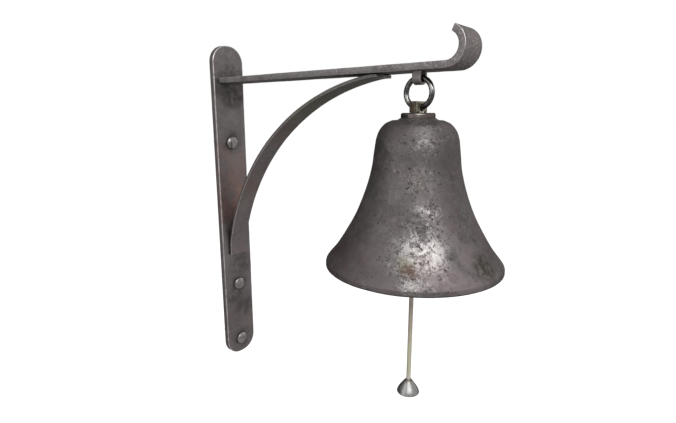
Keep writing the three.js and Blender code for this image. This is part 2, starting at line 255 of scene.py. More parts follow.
def eased(section, amount, half_wide, half_thick):
    """A section drawn in by amount, for the broken edge of a cut end."""
    wide, thick = (half_wide - amount) / half_wide, (half_thick - amount) / half_thick
    return [(u * wide, v * thick) for u, v in section]


def swept(name, stations, place):
    """A bar along stations of (point, normal, section). place maps (u across, point) to 3-D."""
    return stacked(name, [
        [place(u, point + normal * v) for u, v in section] for point, normal, section in stations
    ])


def in_side_view(u, point):
    """u runs along Y, and the path is drawn in X and Z."""
    return (point.x, u, point.y)


def in_front_view(u, point):
    """u runs along X from the bell's axis, and the path is drawn in Y and Z."""
    return (AXIS_X + u, point.x, point.y)


def block(name, low, high):
    """A plain cutting tool."""
    x, y, z = zip(low, high)
    points = [(x[i], y[j], z[k]) for i in (0, 1) for j in (0, 1) for k in (0, 1)]
    faces = [[0, 1, 3, 2], [4, 6, 7, 5], [0, 4, 5, 1], [2, 3, 7, 6], [0, 2, 6, 4], [1, 5, 7, 3]]
    return mesh_piece(name, points, faces)


def drum(name, radius, low, high, place, sides=32):
    """A plain round cutting tool."""
    return lathe(name, [(0, low), (radius, low), (radius, high), (0, high)], sides, place)


def combine(piece, other, operation):
    """Cuts, joins or intersects a piece with another, which is used up."""
    modifier = piece.modifiers.new("combine", "BOOLEAN")
    modifier.operation, modifier.solver, modifier.object = operation, "EXACT", other
    bpy.context.view_layer.update()
    graph = bpy.context.evaluated_depsgraph_get()
    made = bpy.data.meshes.new_from_object(piece.evaluated_get(graph))
    piece.modifiers.clear()
    old = piece.data
    piece.data = made
    made.name = piece.name
    bpy.data.meshes.remove(old)
    tool = other.data
    bpy.data.objects.remove(other)
    bpy.data.meshes.remove(tool)


def cut(piece, *tools):
    """Takes tools away from a piece. They run a millimetre or more past it, so that no faces meet."""
    for tool in tools:
        combine(piece, tool, "DIFFERENCE")
    return piece


def join(piece, *others):
    """Makes one solid of a piece and others that overlap it."""
    for other in others:
        combine(piece, other, "UNION")
    return piece


def worked(piece, dents, keep=None, seed=0.0):
    """Presses the surface in by soft noise. dents are (size, depth) pairs in millimetres, and keep
    says how much of it a point takes, from 0 to 1."""
    mesh = piece.data
    shift = Vector((seed * 7.3, seed * 3.1, seed * 5.7))
    moves = []
    for vertex in mesh.vertices:
        place = vertex.co / MM
        depth = 0.0
        for size, amount in dents:
            value = noise.noise(place / size + shift)
            depth += amount * min(1.0, max(0.0, 0.5 + value))
        if keep:
            depth *= keep(place)
        moves.append(vertex.co - vertex.normal * depth * MM)
    for vertex, place in zip(mesh.vertices, moves):
        vertex.co = place
    return piece


def finished(piece, node, body, slot, material):
    """Shades a piece, gives it its material and puts it in the place of its CAD node."""
    mesh = piece.data
    mesh.shade_smooth()
    mesh.set_sharp_from_angle(angle=radians(CREASE))
    mesh.materials.clear()
    mesh.materials.append(material)
    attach(piece, body)
    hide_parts(node)


# -------- node trees

class Nodes:
    """Adds and links the nodes of one tree."""

    def __init__(self, tree):
        self.tree = tree
        tree.nodes.clear()

    def add(self, kind, inputs=None, **settings):
        """A node. Each input, by its name or number, is a value or another node's output."""
        node = self.tree.nodes.new("ShaderNode" + kind)
        for key, value in settings.items():
            setattr(node, key, value)
        for key, value in (inputs or {}).items():
            if isinstance(value, bpy.types.NodeSocket):
                self.tree.links.new(value, node.inputs[key])
            else:
                node.inputs[key].default_value = value
        return node

    def band(self, value, low, high, to_low=0.0, to_high=1.0):
        """value between low and high, spread softly over to_low to to_high."""
        inputs = {"Value": value, "From Min": low, "From Max": high, "To Min": to_low, "To Max": to_high}
        return self.add("MapRange", inputs, interpolation_type="SMOOTHSTEP").outputs["Result"]

    def reckon(self, operation, a, b=0.0):
        """A calculation with one or two values."""
        return self.add("Math", {0: a, 1: b}, operation=operation).outputs["Value"]

    def vector(self, operation, a, b=(0, 0, 0)):
        """A calculation with vectors. Its outputs are Vector and Value."""
        return self.add("VectorMath", {0: a, 1: b}, operation=operation).outputs

    times = partialmethod(reckon, "MULTIPLY")
    plus = partialmethod(reckon, "ADD")
    less = partialmethod(reckon, "SUBTRACT")
    most = partialmethod(reckon, "MAXIMUM")

    def part(self, vector, name):
        """One coordinate of a vector."""
        return self.add("SeparateXYZ", {0: vector}).outputs[name]


class Finish(Nodes):
    """Builds one material from procedural layers, over its colour so far. Sizes and depths are
    millimetres. Each noise or cells layer is moved on from the one before, so their order matters."""

    def __init__(self, name, metallic, seed, rim=0.42):
        self.material = bpy.data.materials.new(name)
        self.material.use_nodes = True
        super().__init__(self.material.node_tree)
        self.surface = {"Metallic": metallic, "Specular Tint": (rim, rim * 0.98, rim * 0.95, 1)}
        coordinates = self.add("TexCoord")
        self.place = coordinates.outputs["Object"]
        self.facing = coordinates.outputs["Normal"]
        self.seed = seed
        self.colour = None

    def scaled(self, stretch):
        """The place on the piece, moved on for each layer and squeezed along each axis."""
        self.seed += 1.0
        moved = (self.seed * 1.7, self.seed * 0.9, self.seed * 2.3)
        inputs = {"Vector": self.place, "Location": moved, "Scale": stretch}
        return self.add("Mapping", inputs).outputs["Vector"]

    def noise(self, size, detail=5.0, grit=0.55, stretch=(1, 1, 1), warp=0.0):
        """Soft noise from 0 to 1, of a size in millimetres."""
        inputs = {"Vector": self.scaled(stretch), "Scale": 1 / (size * MM), "Detail": detail}
        inputs |= {"Roughness": grit, "Distortion": warp}
        return self.add("TexNoise", inputs).outputs["Fac"]

    def cells(self, size):
        """The distance from the middles of scattered cells."""
        inputs = {"Vector": self.scaled((1, 1, 1)), "Scale": 1 / (size * MM)}
        return self.add("TexVoronoi", inputs).outputs["Distance"]

    def patch(self, size, detail, grit, low, high, most=1.0, least=0.0, **layer):
        """Ragged patches of noise: least where it is under low, most where it is over high."""
        return self.band(self.noise(size, detail, grit, **layer), low, high, least, most)

    def base(self, amount, a, b):
        """Starts the colour, from a to b."""
        self.colour = (*a, 1.0)
        self.lay(amount, b)

    def lay(self, amount, tone):
        """Lays a tone over the colour so far, by an amount that it gives back."""
        inputs = {0: amount, 6: self.colour, 7: (*tone, 1.0)}
        self.colour = self.add("Mix", inputs, data_type="RGBA").outputs[2]
        return amount

    def layer(self, tone, *numbers, **settings):
        """Lays a tone in patches of noise."""
        return self.lay(self.patch(*numbers, **settings), tone)

    def axis(self, name):
        """One coordinate of the place on the piece, in metres."""
        return self.part(self.place, name)

    def near(self, place, core, reach):
        """1 within core of a place and 0 beyond reach, in millimetres."""
        away = self.vector("SUBTRACT", self.place, [v * MM for v in place])["Vector"]
        return self.band(self.vector("LENGTH", away)["Value"], reach * MM, core * MM)

    def spot(self, where, *numbers, **settings):
        """A patch that fades out round a (place, core, reach)."""
        return self.times(self.near(*where), self.patch(*numbers, **settings))

    def chamfers(self, name):
        """1 on faces that slope between facing along an axis and facing across it."""
        along = self.part(self.facing, name)
        square = self.times(along, along)
        return self.band(self.times(square, self.less(1.0, square)), 0.08, 0.2)

    def edges(self, radius):
        """1 on the sharp edges of the piece."""
        bevelled = self.add("Bevel", {"Radius": radius * MM}, samples=4).outputs["Normal"]
        flat = self.add("NewGeometry").outputs["True Normal"]
        return self.band(self.less(1.0, self.vector("DOT_PRODUCT", bevelled, flat)["Value"]), 0.02, 0.2)

    def corners(self, reach):
        """1 in corners and crevices, found by ambient occlusion. Laid dark, it paints shade there, along
        with dirt.
        """
        node = self.add("AmbientOcclusion", {"Distance": reach * MM}, samples=6)
        return self.band(node.outputs["AO"], 0.85, 0.25)

    def blooms(self, spots):
        """Lays ragged spots of colour: (place, core, reach, colour, strength)."""
        for *where, tone, strength in spots:
            ragged = self.spot(where, max(4, where[2] / 3), 6, 0.62, 0.34, 0.58, warp=0.5)
            self.lay(self.times(ragged, strength), tone)

    def done(self, roughness, *bumps):
        """The material, with its colour, roughness and (height, depth) bumps, the first one lowest."""
        under = {}
        for height, depth in bumps:
            node = self.add("Bump", {"Distance": depth * MM, "Height": height, **under})
            under = {"Normal": node.outputs["Normal"]}
        inputs = {"Base Color": self.colour, "Roughness": roughness, **under, **self.surface}
        shader = self.add("BsdfPrincipled", inputs)
        self.add("OutputMaterial", {"Surface": shader.outputs["BSDF"]})
        return self.material


# -------- finishes

def grey(value):
    """A warm grey, slightly towards mauve."""
    return (value * 1.055, value * 0.975, value * 0.965)


def forged_iron(name, seed, tones, tint, rub_axis, spots=(), soot_and_shadow=(), flecks=(0.57, 0.55), grime_and_shade=0.75,
                flush=(), under=0.0):
    """Black-forged bar: mottled scale, coloured blooms, sooty patches (some stand for painted shadow),
    bright flecks and worn edges.

    tones are its darker and lighter greys, and tint the colour of the widest bloom. flecks are the
    noise level that they start at and their strength. Edges near a flush place aren't worn, and
    faces that look down are darkened by under, as painted shade. Its corners are darkened as dirt
    and painted shade."""
    f = Finish(name, 0.9, seed)
    low, high = tones
    f.base(f.patch(20, 6, 0.6, 0.36, 0.66), grey(low), grey(high))
    f.layer(tint, 36, 4, 0.55, 0.42, 0.62, 0.6)
    f.layer(grey(high * 1.25), 6, 6, 0.65, 0.52, 0.66, 0.35, warp=0.8)
    f.blooms(spots)
    black = f.patch(9, 8, 0.66, 0.55, 0.74, 0.34, warp=0.7)
    # Sooty spots; a spot that lies under another part paints that part's shadow.
    for where in soot_and_shadow:
        black = f.most(black, f.times(f.spot(where, 7, 7, 0.62, 0.3, 0.62, warp=0.4), 0.62))
    # Painted shade: faces that look down are darkened.
    if under:
        black = f.most(black, f.band(f.part(f.facing, "Z"), -0.5, -0.95, 0.0, under))
    # The dark layer: black scale and sooty spots, with the painted shade and shadow above.
    f.lay(black, grey(low * 0.34))
    start, strength = flecks
    specks = f.layer(grey(0.46), 1.5, 7, 0.72, start, start + 0.11, strength)
    pocks = f.layer(grey(low * 0.38), 1.8, 6, 0.7, 0.6, 0.7, 0.55)
    worn = f.most(f.chamfers(rub_axis), f.edges(0.7))
    for place in flush:
        worn = f.times(worn, f.less(1.0, f.near(place, 4.2, 5.0)))
    rub = f.lay(f.times(worn, f.patch(4, 6, 0.62, 0.3, 0.58, least=0.2)), grey(0.68))
    # Painted shade, with dirt: corners and crevices darkened by ambient occlusion.
    f.lay(f.times(f.corners(5), grime_and_shade), (0.038, 0.032, 0.029))
    rough = f.plus(f.patch(6, 6, 0.6, 0.3, 0.7, 0.58, 0.42), f.times(black, 0.2))
    rough = f.less(rough, f.times(rub, 0.14))
    marks = f.less(f.times(specks, 0.3), pocks)
    return f.done(rough, (f.noise(7, 4, 0.5), 0.2), (marks, 0.03), (f.noise(0.6, 3, 0.6), 0.006))


def cast_iron(name, seed, rub_and_highlight_spots=(), spots=(), stains=(), wear=0.5, rim=None):
    """Weathered casting: brown-grey and mauve clouds, dark pits, scratched bright where it is worn, and
    painted highlights at given spots.

    The highlight spots are (place, core, reach, strength): worn there, glossier, and painted bright as
    a painted highlight. Stains lie over the wear, corners are darkened as painted shade with dirt,
    and below the height rim there is a thin dark band."""
    f = Finish(name, 0.9, seed)
    f.base(f.patch(30, 5, 0.6, 0.38, 0.62), grey(0.135), grey(0.19))
    f.layer((0.19, 0.148, 0.154), 24, 5, 0.62, 0.46, 0.62, 0.65)
    f.layer((0.105, 0.098, 0.08), 17, 6, 0.66, 0.57, 0.67, 0.55)
    f.layer(grey(0.255), 4.5, 7, 0.7, 0.46, 0.62, 0.4, warp=0.5)
    f.blooms(spots)
    zone = f.patch(33, 4, 0.55, 0.46, 0.68, wear)
    # Highlight spots join the worn zone: scratched, glossier and painted bright there, as a painted
    # highlight.
    for *where, strength in rub_and_highlight_spots:
        ragged = f.spot(where, 10, 6, 0.64, 0.32, 0.6, least=0.45, warp=0.6)
        zone = f.most(zone, f.times(ragged, strength))
    lift = f.band(zone, 0.0, 1.0, -0.1, 0.085)
    fine = f.times(f.noise(1.9, 8, 0.84, warp=1.1), 0.55)
    clouds = f.times(f.noise(6.5, 7, 0.7, warp=1.3), 0.45)
    worn = f.band(f.plus(f.plus(fine, clouds), lift), 0.46, 0.63)
    for stretch in ((1, 1, 0.15), (0.22, 1, 1)):
        scratch = f.plus(f.noise(0.8, 5, 0.68, stretch=stretch), lift)
        worn = f.plus(worn, f.band(scratch, 0.57, 0.68, 0.0, 0.45))
    # The worn colour: real wear, and a painted highlight where the highlight spots lift it.
    worn = f.lay(f.times(f.reckon("MINIMUM", worn, 1.0), 0.8), (0.46, 0.435, 0.43))
    glints = f.patch(1.2, 7, 0.8, 0.545, 0.62, warp=0.9)
    f.lay(f.times(glints, f.band(zone, 0.2, 0.6, 0.0, 0.75)), (0.64, 0.62, 0.61))
    pitted = f.plus(f.band(zone, 0.0, 0.55, -0.05, 0.025), f.band(zone, 0.6, 0.95, 0.0, -0.075))
    dark = f.band(f.plus(f.noise(2.3, 7, 0.74, warp=0.6), pitted), 0.54, 0.63, 0.0, 0.75)
    holes = f.times(f.band(f.cells(5), 0.18, 0.08), f.patch(13, 4, 0.6, 0.5, 0.6))
    dark = f.lay(f.most(dark, f.times(holes, 0.8)), (0.056, 0.049, 0.047))
    f.blooms(stains)
    # Painted shade, with dirt: corners and crevices darkened by ambient occlusion.
    f.lay(f.times(f.corners(5), 0.65), (0.04, 0.034, 0.03))
    # A thin dark band along the lip's bottom edge.
    if rim is not None:
        f.lay(f.band(f.axis("Z"), (rim + 0.5) * MM, (rim - 0.3) * MM, 0.0, 0.8), (0.04, 0.036, 0.034))
    rough = f.less(f.patch(9, 6, 0.6, 0.3, 0.7, 0.62, 0.5), f.times(worn, 0.12))
    rough = f.plus(f.less(rough, f.times(zone, 0.08)), f.times(dark, 0.22))
    marks = f.less(f.times(worn, 0.35), dark)
    return f.done(rough, (f.noise(6, 5, 0.55), 0.18), (marks, 0.05), (f.noise(0.6, 4, 0.65), 0.012))


def dark_steel(name, seed, rub_and_highlight_spots=()):
    """Drawn wire, handled smooth: near black and glossy, with painted highlights at its (place, core, reach)
    spots.
    """
    f = Finish(name, 1.0, seed, 0.03)
    f.base(f.patch(5, 6, 0.65, 0.38, 0.62), (0.074, 0.069, 0.066), (0.18, 0.172, 0.167))
    # Painted highlights: the colour is lifted bright at the given spots.
    for where in rub_and_highlight_spots:
        f.lay(f.times(f.spot(where, 2.2, 6, 0.65, 0.36, 0.56, least=0.4), 0.8), (0.62, 0.6, 0.585))
    spots = f.layer((0.05, 0.042, 0.036), 1.4, 6, 0.7, 0.58, 0.7, 0.8)
    f.layer((0.46, 0.45, 0.44), 0.7, 5, 0.7, 0.6, 0.7, 0.5)
    rough = f.plus(f.patch(3, 6, 0.6, 0.3, 0.7, 0.22, 0.12), f.times(spots, 0.2))
    return f.done(rough, (f.noise(3.2, 4, 0.5), 0.06), (f.noise(0.4, 4, 0.6), 0.008))


def bronze_brown_iron(name, seed):
    """Tarnished lug: olive tarnish, painted lighter on its front and back and darker brown on its sides as
    painted light, with drawn streaks and worn corners.
    """
    f = Finish(name, 0.92, seed)
    # Painted light: faces towards X are lighter olive, and faces across it dark brown.
    front = f.band(f.reckon("ABSOLUTE", f.part(f.facing, "X")), 0.3, 0.8, 0.0, 0.6)
    olive = f.plus(front, f.patch(4, 5, 0.6, 0.42, 0.62, 0.15))
    f.base(olive, (0.08, 0.06, 0.046), (0.46, 0.445, 0.35))
    f.layer((0.24, 0.2, 0.155), 0.9, 5, 0.6, 0.52, 0.62, 0.6, stretch=(1, 1, 0.12))
    dark = f.layer((0.034, 0.028, 0.02), 1.8, 6, 0.7, 0.57, 0.68, 0.85)
    worn = f.most(f.chamfers("X"), f.edges(0.6))
    rub = f.lay(f.times(worn, f.patch(1.8, 5, 0.6, 0.3, 0.5, least=0.55)), (0.8, 0.77, 0.69))
    # Painted shade, with dirt: corners darkened by ambient occlusion.
    f.lay(f.times(f.corners(1.5), 0.25), (0.03, 0.027, 0.02))
    rough = f.plus(f.patch(3, 6, 0.6, 0.3, 0.7, 0.5, 0.34), f.times(dark, 0.2))
    rough = f.less(rough, f.times(rub, 0.12))
    return f.done(rough, (f.noise(3, 4, 0.5), 0.1), (f.noise(0.5, 4, 0.6), 0.012))


def fastener_steel(name, seed, light=1.0, rough_low=0.34, brown=(0.0, 0.7), rim=0.42, rub_and_highlight_spots=()):
    """Dulled screw and nut steel, with painted highlights at (place, core, reach) spots. brown is the least
    and the most of its brown stain."""
    def tone(*colour):
        return tuple(value * light for value in colour)

    f = Finish(name, 0.9, seed, rim)
    f.base(f.patch(5, 6, 0.6, 0.35, 0.65), tone(0.17, 0.16, 0.155), tone(0.25, 0.238, 0.232))
    least, most = brown
    f.layer(tone(0.135, 0.105, 0.098), 3.2, 6, 0.65, 0.5, 0.66, most, least)
    dark = f.layer(tone(0.05, 0.044, 0.042), 1.3, 6, 0.7, 0.58, 0.68, 0.75)
    rub = f.times(f.edges(0.5), f.patch(1.5, 5, 0.6, 0.35, 0.6))
    f.lay(f.times(rub, 0.7), (0.46, 0.45, 0.44))
    # Painted highlights at the given spots.
    for where in rub_and_highlight_spots:
        f.lay(f.spot(where, 2.5, 6, 0.65, 0.34, 0.56, least=0.45), (0.66, 0.61, 0.56))
    # Painted shade, with dirt: corners darkened by ambient occlusion.
    f.lay(f.times(f.corners(2), 0.6), (0.045, 0.038, 0.035))
    rough = f.patch(2.5, 6, 0.6, 0.3, 0.7, rough_low + 0.14, rough_low)
    rough = f.plus(rough, f.times(dark, 0.25))
    return f.done(rough, (f.noise(2.6, 4, 0.5), 0.09), (f.noise(0.4, 4, 0.6), 0.01))


def pale_brass(name, seed):
    """Brass rod: darker and mauve-brown up towards the bell, as painted shade and a painted reflection of
    the bell, and pale at its lower end, a painted highlight.
    """
    f = Finish(name, 0.55, seed)
    wobble = f.times(f.less(f.noise(12, 3, 0.5), 0.5), 0.03)
    height = f.plus(f.axis("Z"), wobble)
    # Pale at the lower end, near the knob: a painted highlight.
    f.base(f.band(height, -106 * MM, -98 * MM), (0.86, 0.82, 0.73), (0.8, 0.76, 0.56))
    # Darker and mauver up the rod: painted shade and reflection of the bell above it.
    for start, end, tone in (
        (-85, -55, (0.66, 0.57, 0.47)), (-56, -30, (0.36, 0.29, 0.285)), (-20, 30, (0.24, 0.19, 0.17)),
    ):
        f.lay(f.band(height, start * MM, end * MM), tone)
    f.layer((0.46, 0.5, 0.34), 2.5, 5, 0.6, 0.54, 0.68, 0.4, stretch=(1, 1, 0.35))
    f.layer((0.34, 0.3, 0.24), 0.5, 4, 0.6, 0.54, 0.7, 0.3, stretch=(1, 1, 0.03))
    spots = f.layer((0.2, 0.16, 0.12), 1.1, 6, 0.7, 0.66, 0.72, 0.6)
    rough = f.plus(f.patch(2.0, 6, 0.6, 0.3, 0.7, 0.42, 0.26), f.times(spots, 0.2))
    drawn = f.noise(0.5, 3, 0.5, stretch=(1, 1, 0.05))
    return f.done(rough, (drawn, 0.01), (f.noise(3, 4, 0.5), 0.03))


def polished_steel(name, seed):
    """Polished cone with fine rays from its tip to its rim, and brown dirt and painted shade round its tip,
    where the rod goes in.
    """
    f = Finish(name, 1.0, seed, 0.1)
    turn = f.reckon("ARCTAN2", f.axis("Y"), f.less(f.axis("X"), AXIS_X * MM))
    rays = f.add("TexNoise", {"W": turn, "Scale": 9.0, "Detail": 5.0}, noise_dimensions="1D")
    ray = f.band(rays.outputs["Fac"], 0.36, 0.64)
    f.base(ray, (0.39, 0.39, 0.385), (0.52, 0.52, 0.51))
    haze = f.layer((0.3, 0.295, 0.285), 3, 6, 0.6, 0.46, 0.64, 0.45)
    f.layer((0.1, 0.095, 0.09), 0.9, 6, 0.7, 0.62, 0.7, 0.6)
    f.lay(f.times(f.edges(0.5), 0.7), (0.62, 0.62, 0.61))
    # Brown round the tip, where the rod goes in: dirt and painted shade.
    tip = f.near((AXIS_X, 0, KNOB_HIGH.z), 2.4, 4.4)
    f.lay(f.times(f.most(f.corners(2), tip), 0.75), (0.17, 0.135, 0.1))
    rough = f.plus(f.band(ray, 0.0, 1.0, 0.35, 0.31), f.times(haze, 0.1))
    return f.done(rough, (f.noise(0.45, 4, 0.6), 0.006), (f.noise(3, 3, 0.5), 0.02))


# -------- the bracket

PLATE_CORNER = 16.0
PLATE_EDGE = 0.8
BAR_STEP = 2.2
ARM_WIDTH = 25.0
ARM_THICK = 5.0
ARM_UNDERSIDE = ARM_LOW.z
ARM_TOP = ARM_UNDERSIDE + ARM_THICK
ARM_EDGE = 0.5
TENON_WIDTH = 16.0
TENON_EDGE = 0.25
SCROLL_CENTRE_X = 241.4
SCROLL_RADIUS = 13.8
SCROLL_END = 66
BRACE_WIDTH = 20.0
BRACE_THICK = 2.5
BRACE_EDGE = 0.4
# The brace's straight ends and its bends, at its foot and at its tip.
BRACE_FLATS = (8.0, 4.0)
BRACE_BEND = 30.0
BRACE_BEND_ANGLES = (13.7, 8.1)
RIVET_RADIUS = 2.0
RIVET_HEAD = 3.4
RIVET_SINK = 1.2
RIVET_FROM_END = 5.0
FOOT_RIVET_Z = BRACE_LOW.z + RIVET_FROM_END
TIP_RIVET_X = BRACE_HIGH.x - RIVET_FROM_END
SCREW_HEAD = 6.5
SCREW_DOME = 3.3
SCREW_RADIUS = 2.5
SCREW_PITCH = 2.0
SCREW_THREAD = 0.65
SCREW_POINT = 8.0
SCREWS = ("wall_screw_top", "wall_screw_middle", "wall_screw_bottom")
STAPLE_INNER = 2.9
STAPLE_THICK = 2.0
STAPLE_LENGTH = 6.5
UP = Vector((0, 1))


def plate_outline(inset):
    """The plate's outline, moved in, up one side from its foot and down the other: (y, z) points."""
    half, radius = PLATE_HIGH.y - PLATE_CORNER, PLATE_CORNER - inset
    low, high = PLATE_LOW.z + PLATE_CORNER, PLATE_HIGH.z - PLATE_CORNER
    side = [(0.0, low - radius)]
    side += arc(half, low, radius, -90, 0, 16)
    side += [(half + radius, z) for z in spaced(low, high, 2.5)[1:-1]]
    side += arc(half, high, radius, 0, 90, 16)
    side.append((0.0, high + radius))
    return side + [(-y, z) for y, z in side[-2:0:-1]]


def back_plate():
    """The plate as nested outlines from the middle of its back round to the middle of its front."""
    thick, edge = PLATE_HIGH.x, PLATE_EDGE
    inward = [15.9, 13, 10, 7.5, 5, 3, 1.6]
    section = [(d, 0.0) for d in inward]
    section += [(0.6, 0.0), (0.2, 0.15), (0.0, 0.6), (0.0, 2.0), (0.0, 3.6), (0.0, thick - edge)]
    section += [(0.12 * edge, thick - 0.78 * edge), (0.78 * edge, thick - 0.12 * edge), (edge, thick)]
    section += [(d, thick) for d in reversed(inward)]
    points, rows = numbered([[(x, y, z) for y, z in plate_outline(inset)] for inset, x in section])
    faces = between(rows)
    for row in (rows[0], rows[-1]):
        faces += [face_of(row[k], row[k + 1], row[-k - 1], row[-k]) for k in range(len(row) // 2)]
    plate = mesh_piece("plate_forged", points, faces)

    def towards_front(p):
        """None of the hammer's marks at the back, where it lies on the wall, and all on the front."""
        return min(1.0, max(0.0, 0.25 * (p.x - 0.5))) if p.x < thick - 0.9 else 1.0

    worked(plate, [(26, 0.16), (9, 0.1), (3.5, 0.04)], towards_front, 1.0)
    for node in SCREWS:
        cut(plate, drum("hole", SCREW_RADIUS + GAP, -1, thick + 1, to_x(middle_height(node))))
    half = TENON_WIDTH / 2 + GAP
    slot = block("slot", (-1, -half, ARM_UNDERSIDE - GAP), (thick + 1, half, ARM_TOP + GAP))
    return cut(plate, slot, drum("hole", RIVET_RADIUS + GAP, -1, thick + 1, to_x(FOOT_RIVET_Z)))


def wall_screw(node):
    """A round-head wood screw: a smooth dome in front, and a threaded shank into the wall."""
    low, high = corners(node)
    place = to_x(middle_height(node))
    under, lip = high.x - SCREW_DOME, 0.2
    profile = [(0.0, under), (SCREW_HEAD - 0.25, under), (SCREW_HEAD, under + lip)]
    profile += domed(SCREW_HEAD, under + lip, SCREW_DOME - lip, 6, 6)
    head = lathe(node + "_dome", profile, 48, place)
    plain = drum("plain", SCREW_RADIUS, -1, under + 0.3, place, 28)
    shank = threaded("shank", low.x, 0.0, SCREW_RADIUS, SCREW_PITCH, SCREW_THREAD, place,
                     point=SCREW_POINT)
    return join(head, plain, shank)


def arm():
    """The flat bar: tenon, shoulder, straight run, then the scroll."""
    middle = ARM_UNDERSIDE + ARM_THICK / 2
    shoulder = PLATE_HIGH.x + GAP
    piece = swept("arm_forged", arm_stations(shoulder), in_side_view)
    worked(piece, [(24, 0.1), (8, 0.08), (3, 0.03)], None, 2.0)
    # The tenon has fewer points across than the bar, so it's made as a bar of its own and joined on.
    narrow = bar_section(TENON_WIDTH / 2, ARM_THICK / 2, TENON_EDGE, BAR_STEP)
    tenon = [(Vector((x, middle)), UP, narrow) for x in spaced(ARM_LOW.x, shoulder + 1, 1.5)]
    join(piece, swept("tenon", tenon, in_side_view))
    half, reach = STAPLE_LENGTH / 2 + GAP, STAPLE_THICK / 2 + GAP
    for side in (-1, 1):
        y = side * (STAPLE_INNER + STAPLE_THICK / 2)
        low = (AXIS_X - half, y - reach, ARM_UNDERSIDE - 1)
        high = (AXIS_X + half, y + reach, ARM_TOP + 1)
        cut(piece, block("slot", low, high))
    return cut(piece, drum("hole", RIVET_RADIUS + GAP, ARM_UNDERSIDE - 1, ARM_TOP + 1, to_z(TIP_RIVET_X)))


def arm_stations(start):
    """The bar's straight run, then its scroll, with the cut end drawn in."""
    half, thick = ARM_WIDTH / 2, ARM_THICK / 2
    section = bar_section(half, thick, ARM_EDGE, BAR_STEP)
    level = ARM_UNDERSIDE + thick
    stations = [(Vector((x, level)), UP, section) for x in spaced(start, SCROLL_CENTRE_X, BAR_STEP)]
    mean = SCROLL_RADIUS - thick
    centre = Vector((SCROLL_CENTRE_X, ARM_UNDERSIDE + SCROLL_RADIUS))
    last = degrees(ARM_EDGE / mean)
    for angle in spaced(-90, SCROLL_END - last, 3.5)[1:]:
        stations.append((*on_bend(centre, mean, angle), section))
    for share, amount in ((0.35, 0.08), (0.8, 0.4), (1.0, 0.9)):
        drawn = eased(section, ARM_EDGE * amount, half, thick)
        stations.append((*on_bend(centre, mean, SCROLL_END - last * (1 - share)), drawn))
    return stations


def on_bend(centre, radius, angle):
    """A point on a bend's middle line, and the direction towards its centre."""
    out = Vector((cos(radians(angle)), sin(radians(angle))))
    return centre + out * radius, -out


def brace_line():
    """The brace's outer face: (point, heading in radians from straight up)."""
    foot, tip = (radians(a) for a in BRACE_BEND_ANGLES)
    x, z = PLATE_HIGH.x + GAP, BRACE_LOW.z
    rise = ARM_UNDERSIDE - GAP - z
    bends = BRACE_BEND * (sin(foot) + 1 - cos(tip))
    sweep = (rise - BRACE_FLATS[0] - bends) / (cos(tip) - sin(foot))
    line = [(Vector((x, z + s)), 0.0) for s in spaced(0, BRACE_FLATS[0], 2)]
    z += BRACE_FLATS[0]
    quarter = pi / 2
    for radius, start, end in (
        (BRACE_BEND, 0.0, foot), (sweep, foot, quarter - tip), (BRACE_BEND, quarter - tip, quarter),
    ):
        centre = Vector((x + radius * cos(start), z - radius * sin(start)))
        for heading in spaced(start, end, 2.4 / radius)[1:]:
            x = centre.x - radius * cos(heading)
            z = centre.y + radius * sin(heading)
            line.append((Vector((x, z)), heading))
    line += [(Vector((x + s, z)), quarter) for s in spaced(0, BRACE_FLATS[1], 2)[1:]]
    return line


def countersink(place, face, away):
    """A tool for a countersunk rivet hole that opens at face; away is the way out, 1 or -1."""
    inner = face - away * (RIVET_SINK + GAP)
    bore, mouth = RIVET_RADIUS + GAP, RIVET_HEAD + 0.02
    profile = [(0, inner - away * 3), (bore, inner - away * 3), (bore, inner), (mouth, face)]
    return lathe("sink", profile + [(mouth, face + away), (0, face + away)], 32, place)


def brace():
    """The curved strap, with its two cut ends drawn in, countersunk for its rivets."""
    half, thick = BRACE_WIDTH / 2, BRACE_THICK / 2
    section = bar_section(half, thick, BRACE_EDGE, BAR_STEP)
    drawn = eased(section, BRACE_EDGE * 0.8, half, thick)
    stations = []
    for point, heading in brace_line():
        normal = Vector((cos(heading), -sin(heading)))
        stations.append((point + normal * thick, normal, section))
    (foot, foot_normal, _), (tip, tip_normal, _) = stations[0], stations[-1]
    stations[0] = (foot + Vector((0, 0.3)), foot_normal, section)
    stations[-1] = (tip - Vector((0.3, 0)), tip_normal, section)
    stations = [(foot, foot_normal, drawn), *stations, (tip, tip_normal, drawn)]
    piece = swept("brace_forged", stations, in_side_view)
    worked(piece, [(24, 0.1), (8, 0.07), (3, 0.03)], None, 3.0)
    return cut(
        piece,
        countersink(to_x(FOOT_RIVET_Z), PLATE_HIGH.x + GAP + BRACE_THICK, 1),
        countersink(to_z(TIP_RIVET_X), ARM_UNDERSIDE - GAP - BRACE_THICK, -1),
    )


def foot_rivet():
    """A rivet through the plate, hammered flush into the brace's foot."""
    low, high = (corner.x for corner in corners("brace_foot_rivet"))
    profile = [
        (0, low), (RIVET_RADIUS - 0.2, low), (RIVET_RADIUS, low + 0.2), (RIVET_RADIUS, high - RIVET_SINK),
        (RIVET_HEAD, high - 0.04), (RIVET_HEAD * 0.7, high - 0.01), (0, high),
    ]
    return lathe("foot_rivet_hammered", profile, 32, to_x(FOOT_RIVET_Z))


